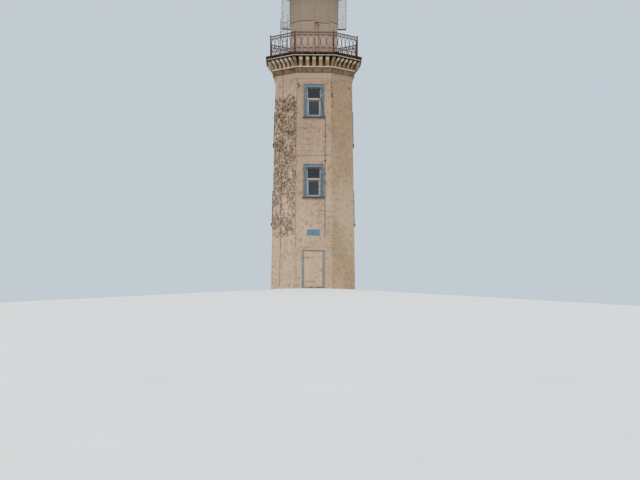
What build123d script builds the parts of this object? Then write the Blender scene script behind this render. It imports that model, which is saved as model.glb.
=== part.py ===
from build123d import *
from math import acos, atan, cos, degrees, radians, sin, sqrt, tan
import os

os.makedirs("parts", exist_ok=True)

# Clearances, in millimetres
seat = 0.3  # between a piece and what carries it
joint = 1.0  # open joint between like pieces of one ring
doorGap = 6.0  # all round the door leaf

# Octagonal shaft: four wide faces on the axes, four narrower ones between
baseApothem = 2357.0
neckApothem = 2163.0
shaftHeight = 11930.0
roomApothem = 1500.0
faceShare = 0.44  # half width of a wide face over its distance from the axis

wideHalf = degrees(atan(faceShare))
narrowHalf = 45 - wideHalf
narrowStretch = cos(radians(narrowHalf)) / cos(radians(wideHalf))
taper = (baseApothem - neckApothem) / shaftHeight

# Doorway and door
doorwayWidth = 1260.0
doorwayHeight = 2200.0
floorHeight = 150.0
frameSetback = 50.0  # front of the door frame behind the wall at the head
frameDepth = 140.0
jambWidth = 120.0
headHeight = 60.0
stopWidth = 20.0
leafThick = 45.0
pinOffset = 15.0  # hinge axis in front of the leaf
knuckleRadius = 8.0
pinRadius = 5.0
strapThick = 8.0
strapLength = 620.0
strapHeight = 55.0

# Windows
surroundWidth = 1130.0
windowHeight = 1900.0
boardWidth = 175.0
boardThick = 45.0
sillHeight = 60.0
sillReach = 90.0
sillWidth = 1250.0
bottomRail = 75.0
frameMember = 40.0
lowerInset = 45.0  # extra width of the frame beside the lower light
casementMember = 60.0
transomHeight = 120.0
upperLight = 590.0
upperMember = 52.0
frameThick = 160.0
sashThick = 50.0
glassThick = 6.0
glassDepth = 120.0
headBelowCornice = 410.0
windowSpacing = 4520.0
sideDrop = 1285.0  # windows on the left and right faces sit lower

# Cornice, corbels and gallery slab
apronReach = 60.0
apronHeight = 255.0
coveFoot = 75.0
coveReach = 135.0
coveTop = 530.0
filletReach = 168.0
filletHeight = 62.0
corbelWallReach = 140.0
corbelHeight = 540.0
corbelBody = 25.0
corbelReach = 440.0
corbelWidth = 215.0
corbelNose = 100.0
corbelFoot = 90.0
corbelHollow = 1.65  # 1 is a straight slope, more is a deeper curve
corbelSteps = 4
cornerWidth = 210.0
cornerDrop = 40.0  # corner corbels end this far behind the others
corbelCount = 5
bedReach = 465.0
bedHeight = 60.0
slabApothem = 2715.0
slabThick = 140.0
slabStep = 40.0

# Gallery railing
railApothem = 2455.0
postSize = 44.0
postHeight = 1250.0
footSize = 90.0
footThick = 14.0
railHeight = 1180.0
secondRail = 1010.0
lowerRail = 280.0
railDepth = 26.0
ovalCount = 6
ovalBar = 24.0
ovalShoulder = 185.0  # from an oval's point down to its upright side
panelThick = 14.0
braceReach = 110.0
braceHeight = 520.0

# Plated drum
drumSides = 10
drumApothem = 1327.0
drumTurn = 20.4
plateThick = 12.0
lowerPlate = 2150.0
upperPlate = 1680.0
shortDrop = 120.0  # one front plate ends lower than its neighbours
lapHeight = 60.0
ribSize = 60.0
galleryDoorWidth = 680.0
galleryDoorHeight = 1850.0
doorStep = 80.0

# Screens and ladder beside the drum
screenWidth = 490.0
screenRaise = 1745.0  # of the screens' lower edge over the gallery floor
ladderWidth = 400.0

# Lantern
deckApothem = 1950.0
deckThick = 60.0
lanternApothem = 1150.0
curbHeight = 500.0
curbThick = 40.0
paneHeight = 1250.0
mullion = 50.0
headRing = 90.0
eaveReach = 170.0
domeRise = 820.0
domeThick = 20.0
neckRadius = 120.0
neckHeight = 120.0
ventRadius = 190.0
rodRadius = 14.0
rodHeight = 620.0
deckRail = 1000.0

# Small things on the walls
plaqueWidth = 700.0
plaqueHeight = 320.0
plaqueRaise = 820.0  # over the doorway's head
lampX = -227.0  # on its drum side
lampDrop = 320.0  # under the seam of the plates
cableX = 640.0
cableSize = 18.0
clipPitch = 1250.0

# Levels
filletTop = shaftHeight + coveTop + 18 + filletHeight
bedBase = filletTop + corbelHeight
slabBase = bedBase + bedHeight
galleryFloor = slabBase + slabThick
lowerSeam = galleryFloor + lowerPlate
deckBase = lowerSeam + upperPlate
lanternFloor = deckBase + deckThick
glassBase = lanternFloor + curbHeight
glassTop = glassBase + paneHeight
roofBase = glassTop + headRing


def apothemAt(height):
    return baseApothem - taper * height


def stretchOf(face):
    return narrowStretch if face % 2 else 1.0


def halfAngleOf(face):
    return narrowHalf if face % 2 else wideHalf


def octagon(apothem):
    h = apothem * faceShare
    corners = [(h, -apothem), (apothem, -h), (apothem, h), (h, apothem),
               (-h, apothem), (-apothem, h), (-apothem, -h), (-h, -apothem)]
    return make_face(Polyline(*corners, close=True))


def prism(face, base, height):
    return Pos(0, 0, base) * extrude(face, height)


def bar(x0, x1, y0, y1, z0, z1):
    return Pos((x0 + x1) / 2, (y0 + y1) / 2, (z0 + z1) / 2) * Box(x1 - x0, y1 - y0, z1 - z0)


# Local frames on a face: X to the right seen from outside, Y up, Z outward
def onFace(face, height):
    lean = degrees(atan(taper * stretchOf(face)))
    reach = apothemAt(height) * stretchOf(face)
    return Rot(0, 0, 45 * face) * Pos(0, -reach, height) * Rot(90 - lean, 0, 0)


def onDrum(side, apothem, height):
    turn = drumTurn + 360 / drumSides * side
    return Rot(0, 0, turn) * Pos(0, -apothem, height) * Rot(90, 0, 0)


# Radial section plane: X outward, Y up
section = Plane((0, 0, 0), x_dir=(0, -1, 0), z_dir=(-1, 0, 0))


def outlineFace(outline, stretch=1.0):
    return make_face(section * Polyline(*[(r * stretch, z) for r, z in outline], close=True))


def closedFace(lines):
    return make_face([section * edge for line in lines for edge in line.edges()])


# One mitred block of a ring: a radial section run between two corner planes
def ringBlock(face, halfAngle, gap=0.0):
    box = face.bounding_box()
    reach = -box.min.Y
    run = extrude(face, reach * tan(radians(halfAngle)) + 50, both=True)
    shift = gap / 2 / sin(radians(halfAngle))
    far = reach + 200
    side = far * tan(radians(halfAngle))
    wedge = make_face(Polyline((0, -shift), (side, -shift - far), (-side, -shift - far), close=True))
    return run & prism(wedge, box.min.Z - 10, box.max.Z - box.min.Z + 20)


def octagonRing(faceAt, gap=joint):
    return [Rot(0, 0, 45 * k) * ringBlock(faceAt(stretchOf(k)), halfAngleOf(k), gap) for k in range(8)]


def drumRing(inner, outer, base, height, gap=joint):
    outline = [(inner, base), (outer, base), (outer, base + height), (inner, base + height)]
    block = ringBlock(outlineFace(outline), 180 / drumSides, gap)
    return [Rot(0, 0, drumTurn + 360 / drumSides * k) * block for k in range(drumSides)]


def save(shapes, name):
    solids = []
    for shape in shapes if isinstance(shapes, list) else [shapes]:
        solids += shape.solids()
    export_step(solids[0] if len(solids) == 1 else Compound(children=solids), f"parts/{name}.step")


# Window opening and its parts, drawn on the wall's outer face from the sill's underside
lightBase = sillHeight + bottomRail
lightTop = windowHeight - boardWidth
lightHalf = surroundWidth / 2 - boardWidth
holeHalf = lightHalf + frameMember
transomTop = lightTop - upperLight
transomBase = transomTop - transomHeight
casementHalf = lightHalf - lowerInset


def windowHole():
    return bar(-holeHalf, holeHalf, lightBase - frameMember, lightTop + frameMember, -1400, 100)


def windowSurround():
    board = bar(-surroundWidth / 2, surroundWidth / 2, sillHeight, windowHeight, 0, boardThick)
    return board - bar(-lightHalf, lightHalf, lightBase, lightTop, -1, boardThick + 1)


def windowSill():
    section = [(0, 0), (sillReach, 0), (sillReach, sillHeight * 0.6), (boardThick, sillHeight), (0, sillHeight)]
    face = make_face(Plane.YZ * Polyline(*[(y, z) for z, y in section], close=True))
    return extrude(face, sillWidth / 2, both=True)


def windowFrame():
    outer = bar(-holeHalf + seat, holeHalf - seat, lightBase - frameMember + seat,
                lightTop + frameMember - seat, -frameThick, 0)
    upper = bar(-lightHalf, lightHalf, transomBase, lightTop, -frameThick - 1, 1)
    lower = bar(-casementHalf, casementHalf, lightBase, transomBase + 1, -frameThick - 1, 1)
    return outer - upper - lower


def windowSash():
    back = -glassDepth - sashThick / 2
    front = back + sashThick
    stiles = bar(-casementHalf + seat, casementHalf - seat, lightBase + seat, transomBase + 1, back, front)
    hole = bar(-casementHalf + casementMember, casementHalf - casementMember,
               lightBase + casementMember, transomBase - casementMember, back - 1, front + 1)
    transom = bar(-lightHalf + seat, lightHalf - seat, transomBase + seat, transomTop, back, front + 20)
    top = bar(-lightHalf + seat, lightHalf - seat, transomTop - 1, lightTop - seat, back, front)
    topHole = bar(-lightHalf + upperMember, lightHalf - upperMember, transomTop - 2, lightTop - upperMember,
                  back - 1, front + 1)
    return (stiles - hole) + (top - topHole) + transom


def windowPanes():
    back = -glassDepth - glassThick / 2
    half = casementHalf - casementMember - seat
    wide = lightHalf - upperMember - seat
    upper = bar(-wide, wide, transomTop + seat, lightTop - upperMember - seat, back, back + glassThick)
    lower = bar(-half, half, lightBase + casementMember + seat, transomBase - casementMember - seat,
                back, back + glassThick)
    return [upper, lower]


topSill = shaftHeight - headBelowCornice - windowHeight
windowSpots = [(k, topSill - row * windowSpacing - (sideDrop if k in (2, 6) else 0))
               for k in range(0, 8, 2) for row in range(2)]

# Shaft walls
wallOutline = [(roomApothem, 0), (baseApothem, 0), (neckApothem, shaftHeight), (roomApothem, shaftHeight)]
walls = octagonRing(lambda stretch: outlineFace(wallOutline, stretch), gap=0)
for k, sill in windowSpots:
    walls[k] = walls[k] - onFace(k, sill) * windowHole()

doorway = bar(-doorwayWidth / 2, doorwayWidth / 2, -3000, 0, -10, doorwayHeight)
pierBlock = walls[0] & bar(-3000, 3000, -3000, 0, -10, doorwayHeight)
piers = (pierBlock - doorway).solids().sort_by(Axis.X)
save(piers[0], "front_pier_left")
save(piers[1], "front_pier_right")
save(walls[0] & bar(-3000, 3000, -3000, 0, doorwayHeight, shaftHeight + 10), "front_wall")
for k, name in enumerate(["front_right", "right", "back_right", "back", "back_left", "left", "front_left"]):
    save(walls[k + 1], f"{name}_wall")

save(prism(octagon(roomApothem - seat), 0, floorHeight), "ground_floor")

# Cornice: a splayed apron, a cove, a fillet, the wall behind the corbels and the bed under the slab
def corniceFace(stretch):
    def at(reach, height):
        return ((neckApothem + reach) * stretch, shaftHeight + height)

    core = roomApothem * stretch
    apronEnd, coveStart = at(apronReach, apronHeight), at(coveFoot, apronHeight + 35)
    coveEnd, top = at(coveReach, coveTop), slabBase - shaftHeight
    edges = [
        Line((core, shaftHeight), at(0, 0)),
        ThreePointArc(at(0, 0), at(apronReach * 0.3, apronHeight * 0.55), apronEnd),
        Polyline(apronEnd, at(coveFoot, apronHeight + 7), coveStart),
        ThreePointArc(coveStart, at(coveFoot + 30, (apronHeight + 35 + coveTop) / 2 + 30), coveEnd),
        Polyline(coveEnd, at(filletReach, coveTop + 18), at(filletReach, coveTop + 18 + filletHeight),
                 at(corbelWallReach, coveTop + 18 + filletHeight), at(corbelWallReach, bedBase - shaftHeight),
                 at(bedReach, bedBase - shaftHeight), at(bedReach + 12, top), (core, slabBase),
                 (core, shaftHeight)),
    ]
    return closedFace(edges)


save(octagonRing(corniceFace), "cornice")


# Corbels: a nose at the top and a hollow curve down to an upright foot
def corbelBlock(stretch, width, tip):
    root = neckApothem + corbelWallReach + seat
    body = root + corbelBody
    foot, head = filletTop + seat, bedBase - seat
    rise = head - corbelNose - foot - corbelFoot
    outline = [(root, head), (root, foot), (body, foot)]
    for i in range(corbelSteps + 1):
        share = i / corbelSteps
        outline.append((body + (tip - body) * share ** corbelHollow, foot + corbelFoot + rise * share))
    return extrude(outlineFace(outline + [(tip, head)], stretch), width / 2, both=True)


corbelTip = neckApothem + corbelReach
core = prism(octagon(neckApothem + corbelWallReach + seat), filletTop, corbelHeight)
cornerCorbel = corbelBlock(1 / cos(radians(wideHalf)), cornerWidth, corbelTip - cornerDrop)
corbels = []
for k in range(8):
    run = 2 * corbelTip * stretchOf(k) * tan(radians(halfAngleOf(k)))
    pitch = run / (corbelCount + 1.15)
    block = corbelBlock(stretchOf(k), corbelWidth, corbelTip)
    for i in range(corbelCount):
        corbels.append(Rot(0, 0, 45 * k) * Pos((i - (corbelCount - 1) / 2) * pitch, 0, 0) * block)
    corbels.append(Rot(0, 0, 45 * k + halfAngleOf(k)) * cornerCorbel - core)
save(corbels, "corbels")

# Gallery slab with a stepped edge
slab = prism(octagon(slabApothem - slabStep), slabBase, slabThick / 2)
slab += prism(octagon(slabApothem), slabBase + slabThick / 2, slabThick / 2)
save(slab, "gallery_slab")


# Gallery railing: a post at each corner and a flat panel between. Each of its cells has a pointed
# oval, half spandrels shared with the next cells, a hexagon over it and a zigzag under it
def railingPanel(length):
    half = length / 2 - postSize / 2 - seat
    cell = half / ovalCount
    edge = ovalBar / 2
    high, low, top = secondRail - railDepth, lowerRail - railDepth, railHeight - railDepth
    middle, crown = (high + lowerRail) / 2, (top + secondRail) / 2
    arch = [(cell - edge, high - ovalShoulder), (cell * 0.56, high - ovalShoulder * 0.44), (0, high - 2)]
    ring = arch + [(-x, y) for x, y in arch[1::-1]]
    outlines = [ring + [(-x, 2 * middle - y) for x, y in ring],
                [(edge - cell, crown), (-cell / 2, secondRail), (cell / 2, secondRail),
                 (cell - edge, crown), (cell / 2, top), (-cell / 2, top)],
                [(ovalBar - cell, low), (cell - ovalBar, low), (0, ovalBar)]]
    for side in (-1, 1):
        for rail, away in ((high, -1), (lowerRail, 1)):
            outlines.append([(side * cell, rail + away * ovalShoulder * 0.85), (side * cell, rail),
                             (side * cell * 0.24, rail)])
        outlines.append([(side * cell, -1), (side * ovalBar, -1), (side * cell, low - ovalBar)])
    holes = [Pos((2 * i + 1) * cell - half, 0) * make_face(Polyline(*outline, close=True))
             for i in range(ovalCount) for outline in outlines]
    panel = Pos(0, (railHeight + seat) / 2) * Rectangle(2 * half, railHeight - seat) - holes
    for side in (-1, 1):
        panel += Pos(side * (half - edge / 2), (railHeight + low) / 2) * Rectangle(edge, railHeight - low)
    return extrude(panel, panelThick / 2, both=True)


panels = []
posts = []
bothPanels = [railingPanel(2 * railApothem * stretchOf(k) * tan(radians(halfAngleOf(k))) - 26) for k in (0, 1)]
for k in range(8):
    place = Rot(0, 0, 45 * k) * Pos(0, -railApothem * stretchOf(k), galleryFloor) * Rot(90, 0, 0)
    panels.append(place * bothPanels[k % 2])
    corner = railApothem / cos(radians(wideHalf))
    post = bar(-postSize / 2, postSize / 2, -postSize / 2, postSize / 2, 0, postHeight)
    post += bar(-footSize / 2, footSize / 2, -footSize / 2, footSize / 2, 0, footThick)
    if k % 2:
        brace = make_face(Plane.YZ * Polyline((postSize / 2, footThick), (postSize / 2 + braceReach, footThick),
                                              (postSize / 2, braceHeight), close=True))
        post += extrude(brace, 8, both=True)
    posts.append(Rot(0, 0, 45 * k + halfAngleOf(k)) * Pos(0, -corner, galleryFloor) * post)
save(panels, "railing_panels")
save(posts, "railing_posts")

# Drum of flat plates: the upper course laps over the lower one
lowerPlates = drumRing(drumApothem - plateThick, drumApothem, galleryFloor, lowerPlate)
upperPlates = drumRing(drumApothem + seat, drumApothem + seat + plateThick, lowerSeam - lapHeight,
                       upperPlate + lapHeight)
shortSide = 0
lowerPlates[shortSide] = lowerPlates[shortSide] & bar(-3000, 3000, -3000, 3000, galleryFloor - 5, lowerSeam - shortDrop)
upperPlates[shortSide] = drumRing(drumApothem + seat, drumApothem + seat + plateThick,
                                  lowerSeam - shortDrop - lapHeight,
                                  upperPlate + lapHeight + shortDrop)[shortSide]
doorSide = 4
galleryHole = onDrum(doorSide, drumApothem, galleryFloor) * bar(
    -galleryDoorWidth / 2, galleryDoorWidth / 2, doorStep, galleryDoorHeight, -100, 100)
lowerPlates[doorSide] = lowerPlates[doorSide] - galleryHole
save(lowerPlates, "drum_lower_plates")
save(upperPlates, "drum_upper_plates")

ribRadius = (drumApothem - plateThick - seat) / cos(radians(180 / drumSides))
rib = bar(-ribSize / 2, ribSize / 2, -ribRadius - 50, -ribRadius + ribSize, galleryFloor, deckBase)
inner = prism(RegularPolygon(ribRadius, drumSides), galleryFloor, deckBase - galleryFloor)
ribs = []
for k in range(drumSides):
    turn = drumTurn + 360 / drumSides * (k + 0.5)
    turned = Rot(0, 0, turn) * rib
    plateFaces = Rot(0, 0, turn - 90) * inner
    ribs.append(turned & plateFaces)
save(ribs, "drum_ribs")

doorLap = 25.0
galleryDoor = bar(-galleryDoorWidth / 2 - doorLap, galleryDoorWidth / 2 + doorLap, doorStep - doorLap,
                  galleryDoorHeight + doorLap, seat, 8)
galleryDoor += bar(-galleryDoorWidth / 2, galleryDoorWidth / 2, 900, 950, 7, 16)
save(onDrum(doorSide, drumApothem, galleryFloor) * galleryDoor, "gallery_door")


# Lantern gallery, lantern and roof
def decagon(apothem, base, height):
    radius = apothem / cos(radians(180 / drumSides))
    turn = drumTurn - 90 + 180 / drumSides
    return Rot(0, 0, turn) * prism(RegularPolygon(radius, drumSides), base, height)


save(decagon(deckApothem, deckBase, deckThick), "lantern_deck")


def deckPanel():
    width = 2 * (deckApothem - 60) * tan(radians(180 / drumSides)) - 6
    panel = Sketch()
    for y, depth in ((deckRail - 20, 40), (deckRail * 0.52, 20), (10, 20)):
        panel += Pos(0, y) * Rectangle(width, depth)
    for side in (-1, 1):
        panel += Pos(side * (width / 2 - 15), deckRail / 2) * Rectangle(30, deckRail)
    return extrude(panel, 12, both=True)


deckPanels = [onDrum(k, deckApothem - 60, lanternFloor) * deckPanel() for k in range(drumSides)]
save(deckPanels, "lantern_railing")

save(drumRing(lanternApothem - curbThick, lanternApothem, lanternFloor, curbHeight), "lantern_curb")
save(drumRing(lanternApothem - curbThick - 20, lanternApothem, glassTop, headRing), "lantern_head")

mullionRadius = lanternApothem / cos(radians(180 / drumSides)) - mullion / 2
mullions = []
panes = []
for k in range(drumSides):
    turn = drumTurn + 360 / drumSides * (k + 0.5)
    mullions.append(Rot(0, 0, turn) * bar(-mullion / 2, mullion / 2, -mullionRadius - mullion / 2,
                                          -mullionRadius + mullion / 2, glassBase, glassTop))
    width = 2 * (lanternApothem - 30) * tan(radians(180 / drumSides)) - mullion - 16
    panes.append(onDrum(k, lanternApothem - 30, glassBase) * bar(-width / 2, width / 2, seat, paneHeight - seat, -8, 0))
save(mullions, "lantern_mullions")
save(panes, "lantern_glass")

# Roof of curved gores over a flat soffit, with a ball vent and rod
eave = lanternApothem + eaveReach
domeRadius = (eave ** 2 + domeRise ** 2) / (2 * domeRise)


def domeArc(drop, base, steps):
    centre = roofBase + domeRise - domeRadius
    r = domeRadius - drop
    spread = acos((base - centre) / r)
    return [(r * sin(spread * i / steps), centre + r * cos(spread * i / steps)) for i in range(steps + 1)]


soffit = lanternApothem - curbThick
inner = domeArc(domeThick, roofBase + domeThick, 4)
outer = domeArc(0, roofBase, 8)
gore = ringBlock(outlineFace(inner + [(soffit, roofBase + domeThick), (soffit, roofBase)] + outer[::-1]),
                 180 / drumSides, joint)
save([Rot(0, 0, drumTurn + 360 / drumSides * k) * gore for k in range(drumSides)], "lantern_roof")

ventBase = roofBase + domeRise + seat
ballCentre = ventBase + neckHeight + ventRadius * 0.8
ventSteps = 6
ventOutline = [(0, ventBase), (neckRadius, ventBase), (neckRadius * 0.8, ventBase + neckHeight)]
ventOutline += [(ventRadius * sin(radians(a)), ballCentre - ventRadius * cos(radians(a))) for a in range(40, 161, 120 // ventSteps)]
ventOutline += [(rodRadius * 3, ballCentre + ventRadius + 30), (rodRadius, ballCentre + ventRadius + 60),
                (rodRadius, ballCentre + ventRadius + rodHeight), (0, ballCentre + ventRadius + rodHeight)]
ventGore = ringBlock(outlineFace(ventOutline), 180 / drumSides)
ballVent = Part()
for k in range(drumSides):
    ballVent += Rot(0, 0, drumTurn + 360 / drumSides * k) * ventGore
save(ballVent, "ball_vent")

# Mesh screens beside the drum and the ladder from the gallery
screenBase = galleryFloor + screenRaise
screenTop = deckBase - seat
screenIn = drumApothem / cos(radians(180 / drumSides)) - 15
screenOut = screenIn + screenWidth
screenBar = 34.0
screens = []
for turn in (-80, 80):
    outer = bar(screenIn, screenOut, -screenBar / 2, screenBar / 2, screenBase, screenTop)
    hole = bar(screenIn + screenBar, screenOut - screenBar, -5, 5, screenBase + 2 * screenBar, screenTop - screenBar)
    pocketFront = bar(screenIn + screenBar, screenOut - screenBar, -screenBar, -4,
                      screenBase + 2 * screenBar, screenTop - screenBar)
    pocketBack = bar(screenIn + screenBar, screenOut - screenBar, 4, screenBar,
                     screenBase + 2 * screenBar, screenTop - screenBar)
    screens.append(Rot(0, 0, turn - 90) * (outer - pocketFront - pocketBack))
save(screens, "mesh_screens")

ladderTop = lowerSeam + 180
ladderX = -screenIn - screenWidth * 0.65
ladderY = -screenIn * 0.3
ladder = bar(-ladderWidth / 2 - 20, -ladderWidth / 2 + 20, -25, 25, 0, ladderTop - galleryFloor)
ladder += bar(ladderWidth / 2 - 20, ladderWidth / 2 + 20, -25, 25, 0, ladderTop - galleryFloor)
for i in range(8):
    ladder += bar(-ladderWidth / 2, ladderWidth / 2, -13, 13, 240 + 270 * i, 266 + 270 * i)
save(Pos(ladderX, ladderY, galleryFloor) * ladder, "ladder")

# Lamp on the drum's front, its head hung off to the left, and the conduit up to it
lampLevel = lowerSeam - lampDrop
lamp = bar(lampX - 30, lampX + 30, -60, 60, seat, 8)
lamp += bar(lampX - 12, lampX + 12, -12, 12, 4, 150)
lamp += bar(lampX - 215, lampX + 12, -12, 12, 130, 154)
lamp += Pos(lampX - 205, 40, 150) * Rot(0, 0, 32) * Box(250, 70, 70)
conduit = bar(lampX - 11, lampX + 11, galleryFloor - lampLevel, -60 - seat, seat, 22 + seat)
save([onDrum(0, drumApothem, lampLevel) * piece for piece in (lamp, conduit)], "bracket_lamp")

# Windows
surrounds, sills, frames, sashes, glass = [], [], [], [], []
for k, sill in windowSpots:
    place = onFace(k, sill)
    surrounds.append(place * windowSurround())
    sills.append(place * windowSill())
    frames.append(place * windowFrame())
    sashes.append(place * windowSash())
    glass += [place * pane for pane in windowPanes()]
save(surrounds, "window_surrounds")
save(sills, "window_sills")
save(frames, "window_frames")
save(sashes, "window_sashes")
save(glass, "window_glass")

# Door frame, threshold, leaf on its pintles
wallAtHead = apothemAt(doorwayHeight)
frameFront = -(wallAtHead - frameSetback)
half = doorwayWidth / 2
clear = half - jambWidth
leafTop = doorwayHeight - headHeight - doorGap
leafHalf = clear - doorGap
frameBack = frameFront + frameDepth
doorFrame = bar(-half + seat, half - seat, frameFront, frameBack, floorHeight + seat, doorwayHeight - seat)
doorFrame -= bar(-clear, clear, frameFront - 1, frameFront + leafThick + doorGap, floorHeight, doorwayHeight - headHeight)
doorFrame -= bar(-clear + stopWidth, clear - stopWidth, frameFront - 1, frameBack + 1, floorHeight,
                 doorwayHeight - headHeight - stopWidth)
save(doorFrame, "door_frame")
save(bar(-half + seat, half - seat, -apothemAt(floorHeight) + 5, -roomApothem - seat, 0, floorHeight), "threshold")

leaf = bar(-leafHalf, leafHalf, frameFront, frameFront + leafThick, floorHeight + 8, leafTop)
save(leaf, "door_leaf")

hingeX = -clear + doorGap / 2
hingeY = frameFront - pinOffset
straps = []
pintles = []
for z in (floorHeight + 300, doorwayHeight - 420):
    strap = bar(hingeX, hingeX + strapLength, frameFront - strapThick, frameFront - seat, z, z + strapHeight)
    knuckle = Pos(hingeX, hingeY, z + strapHeight / 2) * Cylinder(knuckleRadius, strapHeight)
    bore = Pos(hingeX, hingeY, z + strapHeight / 2) * Cylinder(pinRadius + 0.6, strapHeight + 2)
    straps.append((strap + knuckle) - bore)
    plate = bar(hingeX - 90, hingeX, frameFront - strapThick, frameFront - seat, z - 52, z - 2)
    foot = Pos(hingeX, hingeY, z - 27) * Cylinder(knuckleRadius, 50)
    pin = Pos(hingeX, hingeY, z + strapHeight / 2) * Cylinder(pinRadius, strapHeight + 10)
    pintles.append(plate + foot + pin)
save(pintles, "door_pintles")

handleX = leafHalf - 70
handle = bar(handleX - 22, handleX + 22, frameFront - 8, frameFront - seat, 1000, 1180)
handle += bar(handleX - 10, handleX + 10, frameFront - 50, frameFront - 4, 1110, 1130)
handle += bar(handleX - 110, handleX + 10, frameFront - 55, frameFront - 37, 1110, 1130)
save(straps + [handle], "door_fittings")

# Plaque, conductor strap and clipped cable
plaqueBase = doorwayHeight + plaqueRaise
save(onFace(0, plaqueBase) * bar(-plaqueWidth / 2, plaqueWidth / 2, 0, plaqueHeight, seat, 16), "plaque")
save(onFace(7, 250) * bar(-255, -225, 0, shaftHeight - 290, seat, 5), "lightning_conductor")

cableBase, cableTop = plaqueBase - 100, topSill - 60
cable = bar(cableX - cableSize / 2, cableX + cableSize / 2, 0, cableTop - cableBase, 4, 4 + cableSize)
for i in range(int((cableTop - cableBase) / clipPitch) + 1):
    cable += bar(cableX - 22, cableX + 22, i * clipPitch, i * clipPitch + 30, seat, cableSize + 8)
save(onFace(0, cableBase) * cable, "wall_cable")
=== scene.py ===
from math import asin, atan, copysign, cos, hypot, pi, radians, sin, tan
import bmesh
import bpy
from mathutils import Matrix, Vector, noise


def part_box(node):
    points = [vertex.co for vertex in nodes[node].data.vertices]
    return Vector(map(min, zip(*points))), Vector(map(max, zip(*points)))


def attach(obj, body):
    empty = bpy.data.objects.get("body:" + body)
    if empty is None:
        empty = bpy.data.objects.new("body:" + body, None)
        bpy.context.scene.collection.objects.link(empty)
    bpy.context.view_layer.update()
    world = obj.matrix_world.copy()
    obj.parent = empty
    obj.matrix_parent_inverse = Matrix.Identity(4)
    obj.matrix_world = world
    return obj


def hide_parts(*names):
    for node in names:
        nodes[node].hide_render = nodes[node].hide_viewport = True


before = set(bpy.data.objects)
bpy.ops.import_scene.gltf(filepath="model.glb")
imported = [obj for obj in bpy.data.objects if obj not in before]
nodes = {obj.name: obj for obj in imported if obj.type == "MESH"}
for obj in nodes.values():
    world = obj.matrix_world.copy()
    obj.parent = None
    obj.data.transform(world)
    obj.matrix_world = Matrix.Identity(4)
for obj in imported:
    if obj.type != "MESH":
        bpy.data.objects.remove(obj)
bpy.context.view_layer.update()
print("frame loaded,", len(nodes), "nodes")


# Sizes read from the frame: an octagonal shaft with wide faces on the axes
def reachAt(node, axis, height):
    return max(v.co[axis] for v in nodes[node].data.vertices if abs(v.co.z - height) < 0.002)


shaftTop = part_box("cornice")[0].z
baseReach = reachAt("right_wall", 0, 0.0)
neckReach = reachAt("right_wall", 0, shaftTop)
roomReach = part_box("right_wall")[0].x
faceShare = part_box("right_wall")[1].y / baseReach
eighth = pi / 4  # the turn from one face to the next
wideHalf = atan(faceShare)
narrowHalf = eighth - wideHalf
narrowStretch = cos(narrowHalf) / cos(wideHalf)
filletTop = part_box("corbels")[0].z
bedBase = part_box("corbels")[1].z
slabBase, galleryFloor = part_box("gallery_slab")[0].z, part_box("gallery_slab")[1].z
faceNames = ["front", "front_right", "right", "back_right", "back", "back_left", "left", "front_left"]


def stretchOf(face):
    return narrowStretch if face % 2 else 1.0


def halfOf(face):
    return narrowHalf if face % 2 else wideHalf


def wallReach(face, height):
    return (baseReach - (baseReach - neckReach) * height / shaftTop) * stretchOf(face)


def onRing(turn, across, outward, height):  # a place at a turn about the tower's axis
    c, s = cos(turn), sin(turn)
    return Vector((across * c + outward * s, across * s - outward * c, height))


def wallHalf(face, height):  # half a face's width
    return wallReach(face, height) * tan(halfOf(face))


def onWall(face, across, height, proud=0.0):
    return onRing(face * eighth, across, wallReach(face, height) + proud, height)


def rotated(angle, axis="Z"):
    return Matrix.Rotation(angle, 4, axis)


def ringFrame(turn, out, height=0.0):  # the tower's frame turned about its axis and moved outward
    return rotated(turn) @ Matrix.Translation((0, -out, height))


def wallFrame(face, height):  # X to the right seen from outside, Y up the wall, Z outward
    lean = atan((baseReach - neckReach) / shaftTop * stretchOf(face))
    upright = rotated(pi / 2 - lean, "X")
    return ringFrame(face * eighth, wallReach(face, height), height) @ upright


# Colours are written as they look on a screen, from 0 to 255
def tone(red, green, blue, share=1.0):  # a colour as light, or a share of it
    def light(level):
        level /= 255
        level = level / 12.92 if level <= 0.04045 else ((level + 0.055) / 1.055) ** 2.4
        return min(1.0, level * share)
    return (light(red), light(green), light(blue), 1.0)


class Shade:
    def __init__(self, maker, socket):
        self.maker = maker
        self.socket = socket

    def math(self, operation, *values):
        return self.maker.node("ShaderNodeMath", dict(enumerate(values)), operation=operation)

    def __add__(self, other):
        return self.math("ADD", self, other)

    def __radd__(self, other):
        return self.math("ADD", other, self)

    def __sub__(self, other):
        return self.math("SUBTRACT", self, other)

    def __rsub__(self, other):
        return self.math("SUBTRACT", other, self)

    def __mul__(self, other):
        return self.math("MULTIPLY", self, other)

    def __rmul__(self, other):
        return self.math("MULTIPLY", other, self)


class Maker:  # makes and links the nodes of one tree
    def __init__(self, tree):
        self.tree = tree

    def give(self, socket, value):
        if isinstance(value, Shade):
            self.tree.links.new(value.socket, socket)
        else:
            socket.default_value = value

    def node(self, kind, sockets, output=0, **settings):
        made = self.tree.nodes.new(kind)
        for key, value in settings.items():
            setattr(made, key, value)
        for key, value in sockets.items():
            self.give(made.inputs[key], value)
        return Shade(self, made.outputs[output]) if made.outputs else None


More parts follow.
